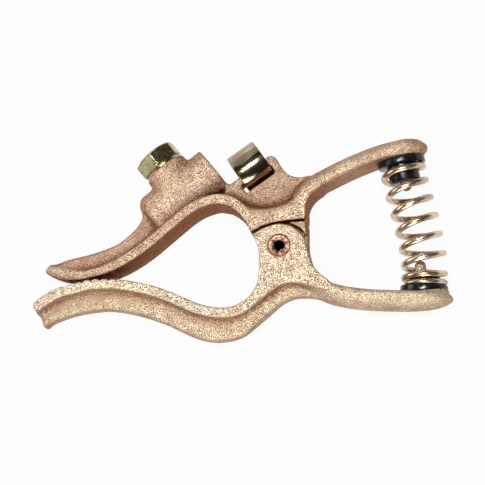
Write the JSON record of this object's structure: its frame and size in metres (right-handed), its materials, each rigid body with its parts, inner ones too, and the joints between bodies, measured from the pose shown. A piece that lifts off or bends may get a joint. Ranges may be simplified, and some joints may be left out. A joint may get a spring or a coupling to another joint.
{
  "type": "spring clamp",
  "caption": "Cast bronze spring clamp for an earth cable: two toothed arms crossing at a tubular rivet, a compression spring, a bolted cable socket and a strap.",
  "frame": {"origin": "middle of the pivot rivet's hole, halfway between the two side faces", "axes": "+Z along the pivot, out of the upper side face as the clamp lies; +X towards the handles, jaws at -X; the arm with the cable socket is on +Y"},
  "size_m": [0.1905, 0.094, 0.026],
  "materials": {
    "cast_bronze": "tumbled sand casting, fine grain, satin",
    "copper_rivet": "flared copper-plated tube, satin",
    "zinc_wire": "yellow-passivated zinc on drawn wire, bright",
    "black_fibre": "moulded, semi-matte",
    "zinc_steel": "yellow-passivated zinc, glossy"
  },
  "bodies": {
    "upper_arm": {"upper_arm": "cast_bronze", "upper_spring_seat": "black_fibre", "cable_strap": "zinc_steel"},
    "lower_arm": {"lower_arm": "cast_bronze", "lower_spring_seat": "black_fibre", "pivot_rivet": "copper_rivet", "spring": "zinc_wire"},
    "washer": {"lock_washer": "zinc_steel"},
    "bolt": {"cable_bolt": "zinc_steel"}
  },
  "joints": [
    {"name": "jaw_hinge", "type": "hinge", "parent": "upper_arm", "child": "lower_arm", "pos_m": [0, 0, 0], "axis": [0, 0, 1], "range_deg": [0, 24], "stiffness_Nm_per_rad": 4, "springref_deg": -20.05, "deforming": ["spring"]},
    {"name": "bolt_turn", "type": "hinge", "parent": "upper_arm", "child": "washer", "pos_m": [-0.04447, 0.02715, 0], "axis": [-0.6293, 0.7771, 0], "range_deg": [0, 1800]},
    {"name": "bolt_travel", "type": "slide", "parent": "washer", "child": "bolt", "axis": [-0.6293, 0.7771, 0], "range_m": [0, 0.01]}
  ],
  "couplings": [
    {"joint": "bolt_travel", "follows": "bolt_turn", "m_per_rad": 0.00031}
  ]
}
